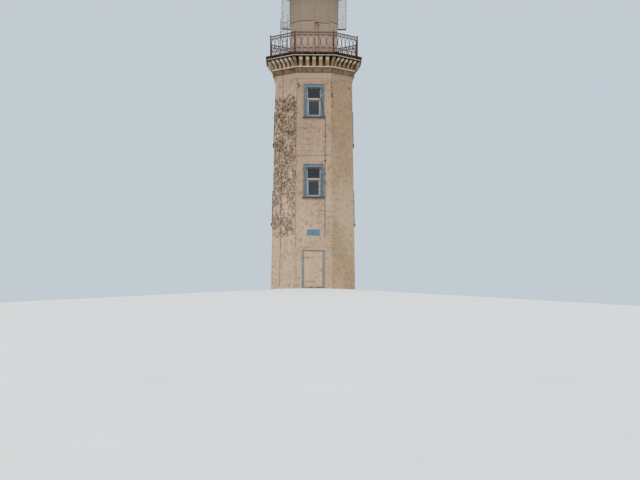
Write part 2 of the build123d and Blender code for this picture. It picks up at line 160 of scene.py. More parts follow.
class Finish(Maker):
    def __init__(self, name, specular=0.5):
        self.material = bpy.data.materials.new(name)
        self.material.use_nodes = True
        super().__init__(self.material.node_tree)
        self.shader = self.tree.nodes["Principled BSDF"]
        self.feed("Specular IOR Level", specular)
        self.place = self.node("ShaderNodeTexCoord", {}, "Object")

    def feed(self, name, value):
        self.give(self.shader.inputs[name], value)

    def axis(self, letter):
        return self.node("ShaderNodeSeparateXYZ", {0: self.place}, letter)

    def noise(self, scale, detail=5.0, tall=1.0, roughness=0.55):  # a small value draws it out upright
        place = self.place
        if tall != 1.0:
            place = self.node("ShaderNodeMapping", {"Vector": place, "Scale": (1, 1, tall)})
        sockets = {"Vector": place, "Scale": scale, "Detail": detail, "Roughness": roughness}
        return self.node("ShaderNodeTexNoise", sockets)

    def attribute(self, name):
        return self.node("ShaderNodeAttribute", {}, "Fac", attribute_name=name)

    def step(self, value, low, high, top=1.0, bottom=0.0):
        sockets = {"Value": value, "From Min": low, "From Max": high, "To Min": bottom, "To Max": top}
        return self.node("ShaderNodeMapRange", sockets, interpolation_type="SMOOTHSTEP")

    def band(self, value, low, high, soft):
        return self.step(value, low - soft, low + soft) * self.step(value, high - soft, high + soft, 0.0, 1.0)

    def mix(self, low, high, mask):
        low, high = (tone(*c) if isinstance(c, tuple) and len(c) == 3 else c for c in (low, high))
        return self.node("ShaderNodeMix", {0: mask, 6: low, 7: high}, 2, data_type="RGBA")

    def layers(self, base, *coats):  # each coat is a colour and where it lies
        for coat, mask in coats:
            base = self.mix(base, coat, mask)
        return base

    def look(self, base, rough):
        self.feed("Base Color", base)
        self.feed("Roughness", rough)
        return self

    def bump(self, height, distance, strength=0.8):
        sockets = {"Height": height, "Distance": distance, "Strength": strength}
        self.feed("Normal", self.node("ShaderNodeBump", sockets))
        return self

    def weathered(self, base, height, grain, smoothest=0.84, relief=0.01):  # the skin of cut stone
        self.look(base, self.step(grain, 0.3, 0.7, 0.96, smoothest))
        return self.bump(height + grain * 0.5, relief)


def wear(node, finish):
    nodes[node].data.materials.clear()
    nodes[node].data.materials.append(finish.material)


# Plaster over rubble stone
plasterLook = {
    "high": (175, 153, 135),
    "low": (205, 186, 169),
    "fadeFrom": 3.8,  # height in metres where the lighter lower part ends
    "fadeTo": 9.5,
    "rust": (174, 124, 104),
    "sootAndShade": (108, 88, 70),
    "shadeUnderCorniceFrom": 10.6,
    "shadeUnderCorniceTo": 11.9,
    "stoneDark": (84, 61, 44),
    "stoneLight": (148, 120, 96),
    "joint": (60, 44, 31),
    "mortar": (196, 176, 152),
    "worn": (188, 168, 144),
}


def wallPlaster(name, tint):
    look = plasterLook
    f = Finish(name, 0.2)
    z = f.axis("Z")
    cloud, patch, grain = f.noise(0.55, tall=0.6), f.noise(2.6, 6), f.noise(38)
    mottle, lump = f.noise(5.5, roughness=0.7), f.noise(11, 6)
    edge = f.attribute("bare")
    bare = f.step(edge + (f.noise(24) - 0.5) * 0.5, 0.36, 0.54)
    line = f.attribute("line") + (grain - 0.5) * 0.5
    plaster = f.layers(
        look["low"],
        (look["high"], f.step(z + (cloud - 0.5) * 2.4, look["fadeFrom"], look["fadeTo"])),
        # the face's tint, partly painted side light
        (tint, f.step(cloud, 0.4, 0.66, 0.75, 0.35)),
        (look["rust"], f.step(patch, 0.56, 0.74, 0.22)),
        (look["rust"], f.step(f.attribute("stain") + (patch - 0.5) * 0.8, 0.2, 0.8, 0.6)),
        (look["sootAndShade"], f.step(f.noise(3.2, tall=0.12), 0.53, 0.78, 0.26)),
        # painted shade: a darker band at the shaft's top, under the cornice
        (look["sootAndShade"], f.step(z, look["shadeUnderCorniceFrom"], look["shadeUnderCorniceTo"], 0.1) * f.step(patch, 0.3, 0.6)),
        (look["mortar"], f.step(grain, 0.58, 0.72, 0.2)),
        (look["sootAndShade"], f.step(mottle, 0.5, 0.68, 0.4)),
        (look["mortar"], f.step(mottle, 0.3, 0.46, 0.0, 0.45)),
        # dark lines: joints and cracks, and the painted shadow down the front corner
        (look["sootAndShade"], f.step(line, 0.25, 0.85, 0.5)),
        # partly painted shade: a dark rim where the plaster breaks off round bare stone
        (look["joint"], f.band(edge, 0.31, 0.61, 0.11) * 0.3))
    rock = f.layers(
        look["stoneDark"],
        (look["stoneLight"], f.step(f.attribute("stone") + (lump - 0.5) * 1.1, 0.1, 0.9)),
        (look["joint"], f.step(line, 0.35, 0.8, 0.75)),
        (look["worn"], f.step(f.noise(14), 0.53, 0.66, 0.65)),
        (look["worn"], f.step(z, look["fadeFrom"], look["fadeTo"], 0.0, 0.35)))
    f.look(f.mix(plaster, rock, bare), f.step(bare, 0, 1, 0.97, 0.88))
    return f.bump(patch * 0.5 + grain * 0.35 + lump * bare * 1.4, 0.014)


# Cut stone
def cutStone(name, coarse, specular=0.2):  # its finish, stain and grain
    f = Finish(name, specular)
    return f, f.noise(coarse, 6), f.noise(45)


def agedStone(name, light, dark):
    f, stain, grain = cutStone(name, 3.0)
    base = f.layers(
        light,
        (dark, f.step(stain, 0.42, 0.64)),
        ((214, 196, 170), f.step(grain, 0.56, 0.7, 0.3)),
        ((52, 38, 28), f.step(f.noise(9, tall=0.3), 0.6, 0.75, 0.35)))
    return f.weathered(base, stain * 0.6, grain, 0.82)


corniceLook = {
    "apron": (186, 164, 142),
    "apronRight": (170, 148, 119),
    "cove": (136, 114, 90),
    "coveDark": (92, 70, 52),
    "fillet": (206, 188, 164),
    "behind": (68, 51, 39),
    "bed": (222, 204, 182),
    "apronTop": 0.26,  # over the shaft's top
    "filletDeep": 0.068,
    "corbelLight": (180, 157, 118),
    "corbelWarm": (156, 129, 97),
    "corbelShade": (46, 30, 20),
    "slabDark": (33, 14, 3),
    "slabStain": (56, 33, 16),
    "slabPaleAndHighlight": (170, 145, 114),
    "slabTop": (142, 127, 112),
}


def corniceStone():
    look = corniceLook
    f, stain, grain = cutStone("corniceStone", 3.0)
    x, z = f.axis("X"), f.axis("Z") + (f.noise(6, 4) - 0.5) * 0.02
    run = f.noise(7, tall=0.15)
    cove = f.mix(look["cove"], look["coveDark"], f.step(stain * 0.5 + run * 0.5, 0.42, 0.62))
    apronTop, filletLow = shaftTop + look["apronTop"], filletTop - look["filletDeep"]
    base = f.layers(
        look["apron"],
        # darker towards the right, partly painted side shade
        (look["apronRight"], f.step(x, 0.8, 1.2)),
        # the cove's darker colour is partly painted shade under the fillet
        (cove, f.step(z, apronTop - 0.015, apronTop + 0.015)),
        (look["coveDark"], f.band(z, apronTop - 0.02, apronTop + 0.03, 0.01) * 0.7),
        # painted shadow: a dark band just under the fillet
        (look["coveDark"], f.step(z, filletLow - 0.07, filletLow - 0.03, 0.75)),
        (look["fillet"], f.step(z, filletLow - 0.01, filletLow + 0.01)),
        # painted shade: dark between the corbels, up to the bed
        (look["behind"], f.step(z, filletTop - 0.004, filletTop + 0.012)),
        # painted light: the bed painted pale as if lit, though it lies in the slab's shade
        (look["bed"], f.step(z, bedBase + 0.006, bedBase + 0.02)),
        (look["coveDark"], f.step(run, 0.54, 0.74, 0.4)),
        (look["apron"], f.step(x, 1.0, 1.9, 0.1)),  # a little of the apron's colour over the right end
        (look["fillet"], f.step(grain, 0.58, 0.72, 0.25)))
    return f.weathered(base, stain * 0.6, grain)


def corbelStone():
    look = corniceLook
    f, stain, grain = cutStone("corbelStone", 5)
    x, z = f.axis("X"), f.axis("Z")
    shade = f.step(f.attribute("side") + (stain - 0.5) * 0.5, 0.3, 0.75)
    base = f.layers(
        look["corbelLight"],
        (look["corbelWarm"], f.step(f.noise(2.2, 3), 0.42, 0.6)),
        (look["coveDark"], f.step(stain, 0.52, 0.72, 0.5)),
        # painted side light: corbels darker towards the right and lighter towards the left
        (look["coveDark"], f.step(x, 0.9, 1.8, 0.38)),
        (look["bed"], f.step(x, -1.8, -0.9, 0.0, 0.2)),
        # painted highlight on the corbels' noses
        (look["bed"], f.step(z, bedBase - 0.24, bedBase - 0.18, 0.75)),
        # painted shade on the corbels' cheeks and the corner corbels, less on the left
        (look["corbelShade"], shade * f.step(x, -1.8, -0.9, 1.0, 0.68)),
        # painted shadow of the slab across the corbels' tops
        (look["corbelShade"], f.step(z, bedBase - 0.1, bedBase - 0.065, 0.9)),
        (look["bed"], f.step(grain, 0.58, 0.72, 0.15)))
    return f.weathered(base, stain * 0.6, grain, relief=0.012)


def slabStone():
    look = corniceLook
    f, stain, grain = cutStone("slabStone", 2.2, 0.1)
    z, broken = f.axis("Z"), f.noise(5.5)
    middle = (slabBase + galleryFloor) / 2
    # painted highlight: a broken pale line along the slab's edge, where a step would catch light
    stepHighlight = f.band(z, middle - 0.012, middle + 0.012, 0.012) * f.step(broken, 0.42, 0.6)
    base = f.layers(
        look["slabDark"],
        (look["slabStain"], f.step(stain, 0.45, 0.7)),
        (look["slabPaleAndHighlight"], stepHighlight * 0.55),
        (look["slabPaleAndHighlight"], f.step(grain, 0.62, 0.74, 0.12)),
        (look["slabTop"], f.step(z, galleryFloor - 0.004, galleryFloor - 0.001, 0.85)))
    return f.weathered(base, stain * 0.6 + broken * 0.4, grain, 0.82, 0.012)


def paint(name, coat, under, chips, gloss=0.45, streaks=0.3, board=False, foot=None):
    f = Finish(name)
    patch, fine = f.noise(5, 6), f.noise(60)
    coats = [(tone(*coat, 0.62), f.step(f.noise(6, tall=0.08), 0.5, 0.75, streaks)),
             (tone(*coat, 1.3), f.step(patch, 0.5, 0.72, 0.4))]
    if foot:  # another coat under a height, with a soft edge
        below, height, soft = foot
        coats.append((below, f.step(f.axis("Z"), height - soft, height + soft, 0.0, 0.9)))
    if board:
        coats.append((tone(*coat, 0.7), f.step(f.attribute("board"), 0.0, 1.0, 0.35)))
    chip = f.step(patch * 0.6 + fine * 0.4, 0.62 - chips * 0.22, 0.68 - chips * 0.2)
    rough = f.step(chip * 0.6 + fine * 0.4, 0.1, 0.9, min(0.95, gloss + 0.4), gloss)
    f.look(f.layers(coat, *coats, (under, chip)), rough)
    return f.bump(patch * 0.4 + fine * 0.3 - chip * 0.5, 0.002, 0.7)


def pane(name, glow, clear, other=None):
    f = Finish(name, 0.6)
    dust = f.noise(3.5)
    base = f.mix(glow, tone(*glow, 1.6), f.step(dust, 0.4, 0.7))
    if other:
        base = f.mix(base, other, f.attribute("board") * 0.8)
    f.feed("Alpha", f.step(dust, 0.3, 0.7, min(1.0, clear + 0.12), clear))
    return f.look(base, f.step(f.noise(18, 4), 0.3, 0.8, 0.25, 0.08))


print("finishes")
ironRust = (116, 62, 44)
plain = {
    "ground_floor": agedStone("floorStone", (150, 143, 132), (98, 92, 84)),
    "threshold": agedStone("thresholdStone", (160, 150, 136), (104, 96, 86)),
    "cornice": corniceStone(),
    "corbels": corbelStone(),
    "gallery_slab": slabStone(),
    "window_glass": pane("windowPane", (34, 44, 50), 0.86),
    "lantern_glass": pane("lanternPane", (96, 112, 118), 0.3),
    # painted light: the drum lighter within the railing's height, against the railing's shade
    "drum_lower_plates": paint("drumPaint", (168, 147, 130), (124, 98, 78), 0.12, 0.55, 0.2,
                               foot=((197, 174, 156), galleryFloor + 1.25, 0.15)),
    "drum_upper_plates": paint("drumPaintHigh", (156, 139, 121), (120, 96, 78), 0.12, 0.55, 0.2),
    "bracket_lamp": paint("lampPaint", (46, 38, 34), ironRust, 0.3, 0.45,
                          foot=((150, 128, 112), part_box("bracket_lamp")[1].z - 0.13, 0.01)),
}
coats = {  # node: finish, colour, colour under it, how much is chipped, least roughness
    "window_sills": ("sillPaint", (58, 60, 62), (120, 116, 106), 0.2),
    "window_frames": ("frameCream", (164, 158, 148), (120, 108, 92), 0.25),
    "window_sashes": ("sashCream", (206, 194, 180), (128, 114, 96), 0.25),
    "railing_posts": ("postIron", (68, 38, 34), ironRust, 0.45, 0.5),
    "drum_ribs": ("ribIron", (110, 92, 80), ironRust, 0.4, 0.6),
    "gallery_door": ("galleryDoorPaint", (134, 120, 106), ironRust, 0.3, 0.5),
    "ladder": ("ladderIron", (150, 146, 142), ironRust, 0.45, 0.5),
    "lantern_deck": ("deckPaint", (150, 136, 122), ironRust, 0.3, 0.6),
    "lantern_railing": ("deckRailPaint", (168, 166, 160), ironRust, 0.3, 0.5),
    "lantern_curb": ("curbPaint", (160, 143, 126), ironRust, 0.2, 0.5),
    "lantern_mullions": ("mullionPaint", (160, 143, 126), ironRust, 0.2, 0.5),
    "lantern_head": ("headPaint", (154, 139, 122), ironRust, 0.25, 0.5),
    "lantern_roof": ("roofPaint", (122, 74, 58), (90, 62, 48), 0.35, 0.5),
    "ball_vent": ("ventPaint", (116, 70, 56), (86, 60, 46), 0.35, 0.5),
    "lightning_conductor": ("conductorZinc", (112, 96, 82), ironRust, 0.3, 0.5),
    "wall_cable": ("cableSheath", (92, 72, 60), (104, 86, 74), 0.2, 0.6),
    "plaque": ("plaqueEnamel", (93, 134, 154), (150, 166, 172), 0.15, 0.3),
    "door_frame": ("doorFramePaint", (140, 150, 150), (170, 160, 146), 0.25),
    "door_pintles": ("pintleIron", (140, 122, 106), ironRust, 0.4, 0.5),
    "door_fittings": ("fittingIron", (176, 154, 134), ironRust, 0.3, 0.5),
}
plain.update({name: paint(*coat) for name, coat in coats.items()})
for name, finish in plain.items():
    wear(name, finish)
railIron = paint("railIron", (78, 46, 38), ironRust, 0.45, 0.5)

# Walls: each face is a closed block whose outer side carries the plaster's relief
wallForm = {
    "cell": 0.03,
    "plaster": 0.016,
    "edgeFade": 0.05,
    "keyHalf": 0.63,  # half width of the strip whose columns stand plumb
    "course": 0.34,
    "courseFrom": 0.3,
    "stoneLength": 0.62,
    "rubble": 7.6,  # rubble stones in a metre
    "clearance": 0.0003,
}
flaking = {  # how much of each face has lost its plaster, from 0 to 1
    "front": 0.0, "front_right": 0.0, "right": 0.3, "back_right": 0.42,
    "back": 0.48, "back_left": 0.56, "left": 0.74, "front_left": 0.9,
}
flakingFoot = {"front_left": (2.75, 3.25), "other": (1.0, 3.0)}  # heights between which it starts
chips = {  # face: across, height, radius
    0: [(-0.45, 9.0, 0.03), (0.3, 8.9, 0.03), (-0.88, 11.56, 0.06), (-0.82, 11.44, 0.05),
        (-0.9, 11.32, 0.04)],
    1: [(-0.83, 11.6, 0.07), (-0.84, 11.35, 0.07), (-0.79, 10.94, 0.1), (-0.76, 10.3, 0.09),
        (-0.7, 10.62, 0.05), (-0.68, 10.45, 0.04), (0.62, 11.5, 0.06), (-0.5, 8.1, 0.04), (0.3, 6.2, 0.05)],
}
stains = [  # on the front: across, height, half width, half height, strength
    (-0.38, 9.3, 0.36, 0.2, 0.6), (-0.06, 9.05, 0.13, 0.05, 0.9), (-0.3, 11.75, 0.5, 0.2, 0.4),
    (0.1, 4.75, 0.3, 0.25, 0.45),
]
crackLines = {7: [(9.75, -0.86, 0.86), (7.45, -0.5, 0.86)], 0: [(9.05, -0.95, 0.5), (7.5, -0.9, 0.95)]}


def smooth(value, low, high):
    share = min(1.0, max(0.0, (value - low) / (high - low)))
    return share * share * (3 - 2 * share)


def spread(keys, cell):
    line = []
    for a, b in zip(keys, keys[1:]):
        count = max(1, round((b - a) / cell))
        line += [a + (b - a) * i / count for i in range(count)]
    return line + [keys[-1]]


def wallRelief(face, across, height):
    where = onWall(face, across, height)
    rough = noise.fractal(where * 5.2, 0.7, 2.1, 4)
    broad = noise.fractal(where * 1.1 + Vector((7.0, 3.0, 1.0)), 0.8, 2.0, 3)
    drawn = Vector((where.x, where.y, where.z * 0.72))  # stones stand a little higher than wide
    warp = drawn * wallForm["rubble"] + Vector((rough, broad, -rough)) * 0.35
    near, centres = noise.voronoi(warp)
    gap = near[1] - near[0]
    stone = 0.5 + noise.noise(centres[0] * 3.7 + Vector((0.3, 0.7, 0.1)))
    amount = flaking[faceNames[face]]
    zone = smooth(height, *flakingFoot.get(faceNames[face], flakingFoot["other"])) * 0.8
    zone = (zone + smooth(height, 2.5, 6.0) * 0.2) * (1 - smooth(height, 10.8, 11.3) * 0.9)
    shown = smooth(stone * 0.7 + broad * 0.65 + amount * zone - 1.08, -0.14, 0.12) if amount else 0.0
    trail = noise.noise(drawn * 4.6 + Vector((9.0, 4.0, 2.0))) + rough * 0.1
    lost = shown * max(smooth(gap + rough * 0.25, 0.17, 0.3), 1 - smooth(abs(trail), 0.06, 0.14))
    for a, z, r in chips.get(face, []):
        away = hypot(across - a, (height - z) * 0.8) / r
        lost = max(lost, smooth(1.4 - away + rough * 0.5, 0.42, 0.6))
    wobble = noise.noise(where * 1.7) * 0.012
    row = (height + wobble - wallForm["courseFrom"]) / wallForm["course"]
    column = (across + wobble) / wallForm["stoneLength"] + (0.5 if int(row) % 2 else 0.0)
    seam = min(abs(row - round(row)) * wallForm["course"],
               abs(column - round(column)) * wallForm["stoneLength"])
    faint = smooth(noise.noise(where * 1.3 + Vector((0, 0, 5))), -0.3, 0.35) * 0.8
    line = (1 - smooth(seam, 0.006, 0.028)) * faint
    short = 1 - smooth(abs(noise.noise(where * 5.5 + Vector((2.0, 8.0, 4.0)))), 0.05, 0.16)
    line = max(line, short * smooth(noise.noise(where * 2.3 + Vector((6.0, 1.0, 9.0))), 0.0, 0.3) * 0.6)
    for z, left, right in crackLines.get(face, []):
        if left < across < right:
            line = max(line, 1 - smooth(abs(height - z + wobble * 2), 0.008, 0.035))
    half = wallHalf(face, height)
    cornerGap = half + across if face == 0 else half - across
    # painted shadow: a dark line down the corner of the front and front-left faces
    if face in (0, 7):
        line = max(line, (1 - smooth(cornerGap + rough * 0.02, 0.0, 0.045)) * 0.9)
    line = max(line, shown * (1 - smooth(gap, 0.0, 0.08)) * 0.7)
    stain = max([s * (1 - smooth(hypot((across - x) / w, (height - z) / h) + rough * 0.7, 0.4, 1.2))
                 for x, z, w, h, s in stains] + [0.0]) if face == 0 else 0.0
    depth = lost * (wallForm["plaster"] + 0.012 * (0.5 + rough * 0.5))
    depth += (1 - lost) * (0.003 * line + 0.0015 * (0.5 + 0.5 * noise.noise(where * 3.1)))
    return depth, {"bare": lost, "line": line, "stone": stone, "stain": stain}


def partsOn(face, node):  # its lower and upper part on this face, turned to the front
    places = [rotated(-face * eighth) @ v.co for v in nodes[node].data.vertices]
    mine = [p for p in places if p.y < -roomReach and abs(p.x) < 1.0]
    middle = (min(p.z for p in mine) + max(p.z for p in mine)) / 2
    return [[p for p in mine if p.z < middle], [p for p in mine if p.z > middle]]


def holesOf(face):  # half width, foot and head of each
    gap = wallForm["clearance"]
    holes = [(max(abs(p.x) for p in part) + gap, min(p.z for p in part) - gap, max(p.z for p in part) + gap)
             for part in (partsOn(face, "window_frames") if face % 2 == 0 else [])]
    if face == 0:
        holes.append((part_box("threshold")[1].x + gap, 0.0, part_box("front_wall")[0].z))
    return holes


def wallBlock(face):
    cell = wallForm["cell"]
    inner = roomReach * stretchOf(face)
    innerHalf = inner * tan(halfOf(face))
    holes = holesOf(face)
    keyHalf = wallForm["keyHalf"] + wallForm["clearance"]
    acrossKeys = sorted({-keyHalf, keyHalf} | {side * round(h[0], 4) for h in holes for side in (-1, 1)})
    acrossKeys = [a for i, a in enumerate(acrossKeys) if i == 0 or a - acrossKeys[i - 1] > 0.004]
    heightKeys = sorted({0.0, shaftTop} | {h[i] for h in holes for i in (1, 2)})
    plumb = spread(acrossKeys, cell)
    outside = max(2, round((baseReach * faceShare * 0.95 - keyHalf) / cell))
    heights = spread(heightKeys, cell)
    rows = []
    mesh = bmesh.new()
    layers = {key: mesh.verts.layers.float.new(key) for key in ("bare", "line", "stone", "stain")}
    for z in heights:
        half = wallHalf(face, z)
        left = [-half + (half + plumb[0]) * i / outside for i in range(outside)]
        row = []
        for a in left + plumb + [-a for a in reversed(left)]:
            depth, marks = wallRelief(face, a, z)
            edge = min([half - abs(a), z, shaftTop - z]
                       + [max(abs(a) - h[0], h[1] - z, z - h[2]) for h in holes])
            vert = mesh.verts.new(onWall(face, a, z, -depth * smooth(edge, 0.0, wallForm["edgeFade"])))
            for key, value in marks.items():
                vert[layers[key]] = value
            row.append((vert, a))
        rows.append(row)
    for low, high, z in zip(rows, rows[1:], [(a + b) / 2 for a, b in zip(heights, heights[1:])]):
        for i in range(len(low) - 1):
            middle = (low[i][1] + low[i + 1][1]) / 2
            if not any(abs(middle) < h[0] and h[1] < z < h[2] for h in holes):
                mesh.faces.new((low[i][0], low[i + 1][0], high[i + 1][0], high[i][0]))
    for vert in [v for v in mesh.verts if not v.link_faces]:
        mesh.verts.remove(vert)
    rim = [e for e in mesh.edges if len(e.link_faces) == 1]
    made = bmesh.ops.extrude_edge_only(mesh, edges=rim)["geom"]
    footHole = holes[-1][0] if face == 0 else 0.0
    for vert in [g for g in made if isinstance(g, bmesh.types.BMVert)]:
        flat = rotated(-face * eighth) @ vert.co
        half = wallHalf(face, flat.z)
        across = flat.x / half * innerHalf
        if any(abs(flat.x) <= h[0] + 0.001 and h[1] - 0.001 <= flat.z <= h[2] + 0.001 for h in holes):
            across = flat.x
        elif flat.z < 0.001:
            share = (abs(flat.x) - footHole) / (half - footHole)
            across = copysign(footHole + (innerHalf - footHole) * share, flat.x)
        vert.co = onRing(face * eighth, across, inner, flat.z)
    back = [g for g in made if isinstance(g, bmesh.types.BMEdge)]
    bmesh.ops.triangle_fill(mesh, use_beauty=True, edges=back)
    bmesh.ops.recalc_face_normals(mesh, faces=mesh.faces)
    return finishMesh(mesh, faceNames[face] + "_masonry")


def newMeshes(count):
    return [bmesh.new() for k in range(count)]


def inScene(name, data):
    thing = bpy.data.objects.new(name, data)
    bpy.context.scene.collection.objects.link(thing)
    return thing


def finishMesh(mesh, name, finish=None, smoothed=False):
    data = bpy.data.meshes.new(name)
    mesh.to_mesh(data)
    mesh.free()
    if finish:
        data.materials.append(finish.material)
    if smoothed:
        data.polygons.foreach_set("use_smooth", [True] * len(data.polygons))
    return inScene(name, data)


# Each face's tint, partly painted side light: the front-left lighter, the front-right darker
faceTintsAndShade = {
    "front": (188, 164, 142), "front_right": (172, 148, 112), "front_left": (204, 181, 159),
    "hidden": (178, 155, 131),
}
for k, name in enumerate(faceNames):
    block = wallBlock(k)
    finish = wallPlaster(name + "Plaster", faceTintsAndShade.get(name, faceTintsAndShade["hidden"]))
    block.data.materials.append(finish.material)
    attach(block, "tower")
    stands = ["front_wall", "front_pier_left", "front_pier_right"] if k == 0 else [name + "_wall"]
    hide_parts(*stands)
    for node in stands:
        wear(node, finish)
    print("wall", name, len(block.data.polygons), "faces")


# Geometry Nodes repeat a motif at given places and turns
def repeatTree():
    tree = bpy.data.node_groups.new("repeatMotif", "GeometryNodeTree")
    for title, kind in (("Geometry", "Geometry"), ("Motif", "Object"), ("Size", "Float"),
                        ("Finish", "Material")):
        tree.interface.new_socket(title, in_out="INPUT", socket_type="NodeSocket" + kind)
    tree.interface.new_socket("Geometry", in_out="OUTPUT", socket_type="NodeSocketGeometry")
    g = Maker(tree)
    points, motif, size, finish = [g.node("NodeGroupInput", {}, title)
                                   for title in ("Geometry", "Motif", "Size", "Finish")]
    shape = g.node("GeometryNodeObjectInfo", {"Object": motif}, "Geometry")
    angles = g.node("GeometryNodeInputNamedAttribute", {"Name": "turn"}, "Attribute",
                    data_type="FLOAT_VECTOR")
    turn = g.node("FunctionNodeEulerToRotation", {"Euler": angles})
    made = g.node("GeometryNodeInstanceOnPoints",
                  {"Points": points, "Instance": shape, "Rotation": turn, "Scale": size})
    made = g.node("GeometryNodeRealizeInstances", {"Geometry": made})
    made = g.node("GeometryNodeSetMaterial", {"Geometry": made, "Material": finish})
    g.node("NodeGroupOutput", {"Geometry": made})
    return tree


motifTree = repeatTree()


def repeated(name, mesh, spots, finish, size=1.0):  # a spot is a place and a turn
    bmesh.ops.recalc_face_normals(mesh, faces=mesh.faces)
    motif = finishMesh(mesh, name + "Motif")
    data = bpy.data.meshes.new(name + "Spots")
    data.from_pydata([spot[0] for spot in spots], [], [])
    layer = data.attributes.new("turn", "FLOAT_VECTOR", "POINT")
    layer.data.foreach_set("vector", [angle for spot in spots for angle in spot[1]])
    holder = inScene(name + "Holder", data)
    live = holder.modifiers.new("repeat", "NODES")
    live.node_group = motifTree
    given = {"Motif": motif, "Size": size, "Finish": finish.material}
    for item in motifTree.interface.items_tree:
        if item.in_out == "INPUT" and item.name in given:
            live[item.identifier] = given[item.name]
    graph = bpy.context.evaluated_depsgraph_get()
    made = bpy.data.meshes.new_from_object(holder.evaluated_get(graph), depsgraph=graph)
    made.name = name
    holder.modifiers.remove(live)
    bpy.data.objects.remove(holder)
    bpy.data.objects.remove(motif)
    thing = inScene(name, made)
    if "turn" in made.attributes:
        made.attributes.remove(made.attributes["turn"])
    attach(thing, "tower")
    print(name, len(spots), "places,", len(made.polygons), "faces")
    return thing


def placed(mesh, name, finish, body="tower", stands=()):
    bmesh.ops.recalc_face_normals(mesh, faces=mesh.faces)
    thing = finishMesh(mesh, name, finish)
    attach(thing, body)
    if stands:
        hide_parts(*stands)
    print(name, len(thing.data.polygons), "faces")
    return thing


# Faces between rings of vertices, with flat ends unless the rings come round to the first
def skin(mesh, rings, closed=False):
    for low, high in zip(rings, rings[1:] + (rings[:1] if closed else [])):
        for j in range(len(low)):
            k = (j + 1) % len(low)
            mesh.faces.new((low[j], low[k], high[k], high[j]))
    if not closed:
        mesh.faces.new(rings[0])
        mesh.faces.new(list(reversed(rings[-1])))


def around(count):  # cosine and sine of even steps round a circle
    return [(cos(2 * pi * j / count), sin(2 * pi * j / count)) for j in range(count)]


# A bar with taken-off corners bent along a line in its XY plane
barCorners = ((-1, -0.5), (-0.5, -1), (0.5, -1), (1, -0.5), (1, 0.5), (0.5, 1), (-0.5, 1), (-1, 0.5))


def bentBar(mesh, points, wide, deep, closed=False, place=Matrix.Identity(4)):
    rings = []
    for i, point in enumerate(points):
        before = points[i - 1] if closed or i else points[0]
        after = points[(i + 1) % len(points)] if closed or i < len(points) - 1 else points[-1]
        along = (Vector(after) - Vector(before)).normalized()
        side = Vector((-along.y, along.x)) * wide / 2
        spots = [(Vector(point) + side * a, b * deep / 2) for a, b in barCorners]
        rings.append([mesh.verts.new(place @ Vector((*spot, z))) for spot, z in spots])
    skin(mesh, rings, closed)


# A round cord or rod through places in space
def rod(mesh, points, radius, sides=8):
    rings = []
    for i, point in enumerate(points):
        along = (points[min(i + 1, len(points) - 1)] - points[max(i - 1, 0)]).normalized()
        side = along.cross(Vector((0.31, 0.17, 0.93))).normalized()
        other = along.cross(side)
        rings.append([mesh.verts.new(point + (side * c + other * s) * radius) for c, s in around(sides)])
    skin(mesh, rings)


# A bevelled board between two corners of a given frame; tint darkens it from 0 to 1, as its own tone or as
# painted shade
def board(mesh, place, low, high, tint=0.0, edge=0.004):
    layer = mesh.verts.layers.float.get("board") or mesh.verts.layers.float.new("board")
    low, high = Vector(low), Vector(high)
    box = bmesh.ops.create_cube(mesh, size=1.0)["verts"]
    shape = Matrix.Translation((low + high) / 2) @ Matrix.Diagonal((*(high - low), 1))
    bmesh.ops.transform(mesh, matrix=place @ shape, verts=box)
    edges = list({e for v in box for e in v.link_edges})
    for vert in bmesh.ops.bevel(mesh, geom=edges, offset=edge, segments=1, affect="EDGES")["verts"]:
        vert[layer] = tint


# A low domed head, as on rivets and bolts, standing on the XY plane
def rivetHead(radius, proud):
    mesh = bmesh.new()
    skin(mesh, [[mesh.verts.new((r * radius * c, r * radius * s, h * proud)) for c, s in around(8)]
                for r, h in ((1.0, -0.2), (1.0, 0.35), (0.6, 0.9))])
    return mesh


# Corbels as worn blocks with rounded edges
corbelForm = {
    "count": 5,
    "between": 1.15,  # free run at a face's ends, in pitches
    "width": 0.215,
    "cornerWidth": 0.21,
    "cornerDrop": 0.04,
    "cornerShade": 0.5,  # painted shade on the corner corbels, from none at 0 to dark at 1
    "nose": 0.1,
    "foot": 0.09,
    "root": 0.3,  # from the tip back into the wall
    "deep": 0.275,  # from the tip back to the foot
    "hollow": 1.65,
    "steps": 9,
    "round": 0.022,
    "wear": 0.009,
}


